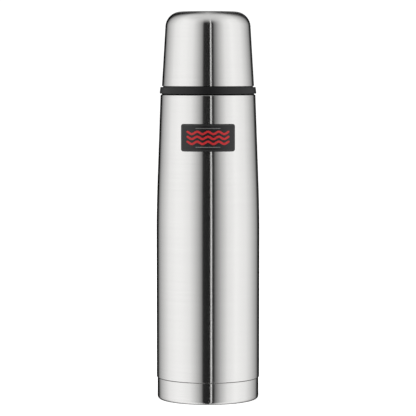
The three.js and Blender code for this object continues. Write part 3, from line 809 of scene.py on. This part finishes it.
def stopper_plug():
    bore = PLUG_RADIUS - PLUG_WALL
    spigot = STOPPER_RADIUS - GRIP_LEAN * SPIGOT_HEIGHT - GRIP_WALL - FACE_GAP
    spigot_top = FLANGE_TOP + SPIGOT_HEIGHT
    outline = line(
        (bore, PLUG_END),
        (PLUG_RADIUS, PLUG_END, 0.5),
        *rows(PLUG_RADIUS, PLUG_END + 0.8, FLANGE_Z - 0.8),
        (PLUG_RADIUS, FLANGE_Z, 0.4),
        (STOPPER_RADIUS, FLANGE_Z, 0.4),
        (STOPPER_RADIUS, FLANGE_TOP, SMALL_ROUND),
        (spigot, FLANGE_TOP),
        (spigot, spigot_top, SMALL_ROUND),
        (spigot - SPIGOT_WALL, spigot_top, SMALL_ROUND),
        (spigot - SPIGOT_WALL, FLANGE_TOP),
        (bore, FLANGE_TOP),
    )
    thread = helix(PLUG_RADIUS, 1, MOUTH_Z - NECK_THREAD_DROP - FLANK_OFFSET, PLUG_RIDGE_TURN)
    channel = PLUG_RADIUS - POUR_DEPTH

    def relief(angle, r, z):
        if r > PLUG_RADIUS + 1e-4 or r < bore + 0.5:
            return r, z
        rr, zz = thread(angle, r, z)
        if abs(rr * math.cos(angle)) < POUR_WIDTH / 2 and z < FLANGE_Z - 0.9:
            rr = min(rr, channel / abs(math.sin(angle)))
        return rr, zz

    turned("stopper_plug_fine", outline, BLACK, "stopper", "stopper_plug", relief)


def stopper_grip():
    top_radius = STOPPER_RADIUS - GRIP_LEAN * (GRIP_TOP - GRIP_Z)
    wall = rows(0, GRIP_Z + 0.8, GRIP_TOP - GRIP_FILLET - 0.4, 0.4)
    outer = line(
        (STOPPER_RADIUS - 0.4, GRIP_Z),
        (STOPPER_RADIUS, GRIP_Z, SMALL_ROUND),
        *((STOPPER_RADIUS - GRIP_LEAN * (z - GRIP_Z), z) for _, z in wall),
        (top_radius, GRIP_TOP, GRIP_FILLET),
        (GRIP_DISH_RADIUS + 0.8, GRIP_TOP, 0.6),
        (GRIP_DISH_RADIUS, GRIP_TOP - GRIP_DISH, 0.8),
        (0, GRIP_TOP - GRIP_DISH),
    )
    inner = line(
        (STOPPER_RADIUS - GRIP_WALL, GRIP_Z),
        (top_radius - GRIP_WALL, GRIP_TOP - GRIP_WALL, 1.8),
        (0, GRIP_TOP - GRIP_WALL),
    )

    def relief(angle, r, z):
        inside = STOPPER_RADIUS - GRIP_WALL - GRIP_LEAN * (z - GRIP_Z)
        if r < STOPPER_RADIUS - GRIP_WALL - 0.4 or abs(r - inside) < 0.3:
            return r, z
        phase = ((angle + math.pi / 2) * SCALLOPS / (2 * math.pi) + 0.5) % 1 - 0.5
        across = phase * 2 * math.pi * r / SCALLOPS / SCALLOP_RADIUS
        window = smooth((z - GRIP_Z - 1.6) / 2.2) * smooth((GRIP_TOP - 2.0 - z) / 2.6)
        dip = max(0.0, 1 - across * across)
        return r - SCALLOP_DEPTH * dip * window, z

    outline = [*outer, *inner[::-1]]
    turned("stopper_grip_fine", outline, BLACK, "stopper", "stopper_grip", relief)


def stopper_seal():
    top, bottom = high("stopper_seal").z, SEAL_END
    bore = SEAL_RADIUS - SEAL_WIDTH
    land = THROAT_RADIUS - RUNNING_GAP
    outline = line(
        (bore, bottom + 0.2),
        (land, bottom, 0.25),
        (land, SEAT_BOTTOM + 0.3, 0.3),
        (SEAL_RADIUS, SEAT_TOP - 0.9, 0.4),
        (SEAL_RADIUS, top, 0.35),
        (bore, top),
    )
    turned("stopper_seal_fine", outline, SILICONE, "stopper_seal", "stopper_seal")


def stopper_base():
    plate = THROAT_RADIUS - RUNNING_GAP
    plate_top = STOPPER_END + PLUG_BASE_WALL
    skirt = SEAL_RADIUS - SEAL_WIDTH - RUNNING_GAP
    top = high("stopper_base").z
    outline = line(
        (0, STOPPER_END + BASE_DISH),
        (BASE_DISH_RADIUS, STOPPER_END + BASE_DISH, 0.5),
        (BASE_DISH_RADIUS + 0.8, STOPPER_END, 0.5),
        (plate, STOPPER_END, 0.6),
        (plate, plate_top, 0.15),
        (skirt, plate_top),
        (skirt, top),
        (skirt - PLUG_BASE_WALL, top),
        (skirt - PLUG_BASE_WALL, plate_top),
        (0, plate_top),
    )
    turned("stopper_base_fine", outline, BLACK, "stopper", "stopper_base")


# ---- Cup ----


def cup_line():
    height = CUP_TOP - CUP_SHELL_Z
    return (
        (CUP_RIM_RADIUS, CUP_SHELL_Z),
        (CUP_RIM_RADIUS - CUP_LEAN * height, CUP_TOP, CUP_FILLET),
        (0, CUP_TOP),
    )


def cup_shell():
    outer = line(*cup_line(), step=math.radians(5))
    turned("cup_shell_fine", sheet(outer, STEEL), STEEL_OUTSIDE, "cup", "cup_shell")


def cup_liner():
    outer = inset(line(*cup_line(), step=math.radians(5)), LINER_INSET)
    inner = inset(outer, LINER_WALL)
    outer[0][1] = inner[0][1] = CUP_SHELL_Z
    turned("cup_liner_fine", [*outer, *inner[::-1]], BLACK, "cup", "cup_liner")


def cup_rim_ring():
    """The black band, the shadow groove over it, and the threaded sleeve inside the liner."""
    sleeve = SLEEVE_RADIUS + SLEEVE_WALL
    sleeve_top = CUP_Z + SLEEVE_HEIGHT
    groove_floor = CUP_RIM_RADIUS - BAND_GROOVE_DEPTH
    groove_top = BAND_TOP + BAND_GROOVE_HEIGHT
    outline = line(
        (BAND_RADIUS - 3.0, CUP_Z),
        (BAND_RADIUS - 0.05, CUP_Z, 0.5),
        (BAND_RADIUS - BAND_LEAN, BAND_TOP, 0.35),
        (groove_floor, BAND_TOP, 0.15),
        (groove_floor, groove_top),
        (sleeve, groove_top),
        (sleeve, sleeve_top, SMALL_ROUND),
        (SLEEVE_RADIUS, sleeve_top, SMALL_ROUND),
        *rows(SLEEVE_RADIUS, sleeve_top - 0.6, CUP_Z + 0.8),
        (SLEEVE_RADIUS + 0.4, CUP_Z),
    )
    thread = helix(SLEEVE_RADIUS, -1, CUP_Z + CUP_THREAD_RISE - FLANK_OFFSET, RING_RIDGE_TURN)
    turned("cup_rim_ring_fine", outline, BLACK, "cup", "cup_rim_ring", thread)


# ---- Stage ----


def studio_floor():
    material, tree, shader = new_material("stage_floor")
    shader.inputs["Base Color"].default_value = (0.9, 0.9, 0.9, 1)
    shader.inputs["Roughness"].default_value = 0.9
    shader.inputs["Specular IOR Level"].default_value = 0.1
    shader.inputs["Emission Color"].default_value = (1, 1, 1, 1)
    shader.inputs["Emission Strength"].default_value = 0.55
    see_through = node(tree, "ShaderNodeBsdfTransparent")
    side = node(tree, "ShaderNodeNewGeometry")
    mix = node(tree, "ShaderNodeMixShader")
    link(tree, side.outputs["Backfacing"], mix.inputs[0])
    link(tree, shader.outputs[0], mix.inputs[1])
    link(tree, see_through.outputs[0], mix.inputs[2])
    link(tree, mix.outputs[0], tree.nodes["Material Output"].inputs["Surface"])
    mesh = bpy.data.meshes.new("stage_floor")
    half = 12
    corners = [(-half, -half, 0), (half, -half, 0), (half, half, 0), (-half, half, 0)]
    mesh.from_pydata(corners, [], [(0, 1, 2, 3)])
    mesh.materials.append(material)
    floor = bpy.data.objects.new("stage_floor", mesh)
    bpy.context.collection.objects.link(floor)
    floor.visible_glossy = False


# Brightness of the light tent by direction round the flask, in degrees from the front towards +X.
TENT = (
    (-180, 0.30),
    (-166, 0.0),
    (-151, 0.0),
    (-147.5, 0.09),
    (-142.5, 0.27),
    (-136, 0.43),
    (-125.5, 0.60),
    (-116, 0.73),
    (-98, 0.98),
    (-75, 1.09),
    (-60, 1.075),
    (-42, 0.965),
    (-30, 0.725),
    (-20, 0.47),
    (-14.8, 0.30),
    (-11.2, 0.025),
    (6.6, 0.012),
    (6.9, 1.5),
    (8.2, 1.5),
    (8.5, 0.02),
    (13.0, 0.02),
    (16.6, 0.21),
    (30, 0.59),
    (45, 0.93),
    (66, 1.09),
    (94, 0.975),
    (111.5, 0.75),
    (129.5, 0.475),
    (141.5, 0.28),
    (146, 0.05),
    (166, 0.0),
    (180, 0.30),
)

OVERHEAD_TILT = 78  # elevation of the overhead panel's middle, towards the front
OVERHEAD_EDGE = 0.66  # cosine of the angle from its middle at which it begins to show
OVERHEAD_FULL = 0.97  # and at which it is full
OVERHEAD_LEVEL = 0.73
BACKDROP_LEVEL = 1.1


def studio_light():
    world = bpy.data.worlds.new("studio")
    bpy.context.scene.world = world
    world.use_nodes = True
    tree = world.node_tree
    background = tree.nodes["Background"]
    coords = node(tree, "ShaderNodeTexCoord")
    xyz = node(tree, "ShaderNodeSeparateXYZ")
    link(tree, coords.outputs["Generated"], xyz.inputs[0])
    toward_front = math_node(tree, "MULTIPLY", xyz.outputs[1], -1.0)
    turn = math_node(tree, "ARCTAN2", xyz.outputs[0], toward_front)
    around = remap(tree, turn, -math.pi, math.pi, 0, 1)
    ramp = node(tree, "ShaderNodeValToRGB")
    stops = ramp.color_ramp.elements
    while len(stops) < len(TENT):
        stops.new(0.5)
    for stop, (degrees, level) in zip(stops, TENT):
        stop.position = degrees / 360 + 0.5
        stop.color = (level, level, level, 1)
    link(tree, around, ramp.inputs[0])
    upward = math_node(tree, "MULTIPLY", xyz.outputs[2], math.sin(math.radians(OVERHEAD_TILT)))
    forward = math_node(tree, "MULTIPLY", toward_front, math.cos(math.radians(OVERHEAD_TILT)))
    near_axis = math_node(tree, "ADD", upward, forward)
    overhead = remap(tree, near_axis, OVERHEAD_EDGE, OVERHEAD_FULL, 0, 1)
    tent = node(tree, "ShaderNodeMix", data_type="RGBA")
    link(tree, overhead, tent.inputs["Factor"])
    link(tree, ramp.outputs[0], tent.inputs["A"])
    tent.inputs["B"].default_value = (*[OVERHEAD_LEVEL] * 3, 1)
    seen = node(tree, "ShaderNodeLightPath")
    shown = node(tree, "ShaderNodeMix", data_type="RGBA")
    link(tree, seen.outputs["Is Camera Ray"], shown.inputs["Factor"])
    link(tree, tent.outputs["Result"], shown.inputs["A"])
    shown.inputs["B"].default_value = (*[BACKDROP_LEVEL] * 3, 1)
    link(tree, shown.outputs["Result"], background.inputs["Color"])
    overhead_light = bpy.data.lights.new("overhead", "AREA")
    overhead_light.shape = "DISK"
    overhead_light.size = 2.4
    overhead_light.energy = 30
    lamp = bpy.data.objects.new("overhead", overhead_light)
    lamp.location = (0, 0, 2.2)
    lamp.visible_glossy = False
    bpy.context.collection.objects.link(lamp)


CAMERA_DISTANCE = 1.756
CAMERA_HEIGHT = 0.2655
AIM_HEIGHT = 0.15426
LENS = 188.61


def camera():
    """Level with the lower part of the cup, with the flask upright in a square frame."""
    data = bpy.data.cameras.new("camera")
    data.lens = LENS
    data.sensor_width = 36
    view = bpy.data.objects.new("camera", data)
    view.location = (0, -CAMERA_DISTANCE, CAMERA_HEIGHT)
    aim = Vector((0, 0, AIM_HEIGHT))
    view.rotation_euler = (aim - view.location).to_track_quat("-Z", "Y").to_euler()
    bpy.context.collection.objects.link(view)
    bpy.context.scene.camera = view
    bpy.context.scene.view_settings.view_transform = "Standard"
    bpy.context.scene.view_settings.look = "None"


# ---- Assembly ----

camera()
outer_shell()
outer_base()
base_disc()
inner_bottle()
inner_bottom()
gasket("collar_gasket", COLLAR_RADIUS - COLLAR_WALL, 0.12, "flask")
neck_collar()
badge()
stopper_plug()
stopper_grip()
stopper_seal()
stopper_base()
gasket("cup_gasket", high("cup_gasket").x - CUP_GASKET_WIDTH, 0.2, "cup_gasket")
cup_shell()
cup_liner()
cup_rim_ring()

KEPT = {
    "vent_plug": GLASS_SEAL,
    "reflective_foil": FOIL,
    "getter": GETTER,
    "getter_clip": STEEL_INSIDE,
    "stopper_foam": FOAM,
}
for name, material in KEPT.items():
    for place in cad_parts[name].material_slots:
        place.material = material

studio_floor()
studio_light()
